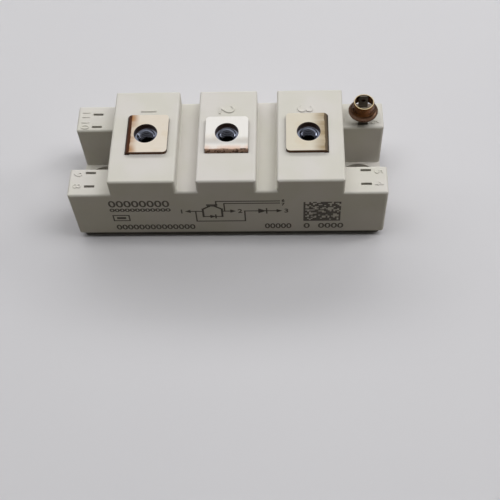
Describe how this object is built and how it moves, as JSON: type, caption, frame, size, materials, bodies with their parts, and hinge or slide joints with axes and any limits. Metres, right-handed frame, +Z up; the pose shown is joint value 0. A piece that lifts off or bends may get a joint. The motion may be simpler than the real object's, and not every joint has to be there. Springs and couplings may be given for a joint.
{
  "type": "igbt module",
  "caption": "Flat chopper power module: white case with busbar terminals over captive nuts, corner towers for signal tabs, a brass shorting eyelet and a metal base plate.",
  "frame": {"origin": "middle of the base plate's underside", "axes": "+X along the case from terminal 1 to terminal 3, +Y from the printed front to the side with the shorting eyelet, +Z up out of the terminals"},
  "size_m": [0.094, 0.034, 0.03],
  "materials": {
    "case": "fine moulded matt, warm white, with engraved terminal numbers and printed marks",
    "plate": "nickel plated copper, satin",
    "busbar": "tin plated copper strip, satin, tarnished brown at the bends",
    "nut": "zinc plated steel",
    "tab": "tinned brass, dull",
    "eyelet": "thin brass, tarnished brown outside, bright at the rim",
    "lead": "silicone insulated stranded lead",
    "ceramic": "fired alumina, matt white",
    "copper": "bonded copper, satin",
    "silicon": "metallised silicon, grey",
    "bond_wire": "drawn aluminium wire",
    "gel": "clear soft silicone"
  },
  "bodies": {
    "root": {"housing": "case", "baseplate": "plate", "terminal_1": "busbar", "terminal_2": "busbar", "terminal_3": "busbar", "nut_1": "nut", "nut_2": "nut", "nut_3": "nut", "gate_tab": "tab", "emitter_tab": "tab", "shorting_eyelet": "eyelet", "gate_lead": "lead", "emitter_lead": "lead", "left_back_copper": "copper", "right_back_copper": "copper", "left_ceramic": "ceramic", "right_ceramic": "ceramic", "collector_track": "copper", "emitter_track": "copper", "gate_track": "copper", "anode_track": "copper", "cathode_track": "copper", "igbt_chip_1": "silicon", "igbt_chip_2": "silicon", "inverse_diode_1": "silicon", "inverse_diode_2": "silicon", "freewheel_diode_1": "silicon", "freewheel_diode_2": "silicon", "emitter_bond_wires": "bond_wire", "gate_bond_wires": "bond_wire", "anode_bond_wires": "bond_wire", "link_bridge": "copper", "silicone_gel": "gel"}
  },
  "joints": []
}
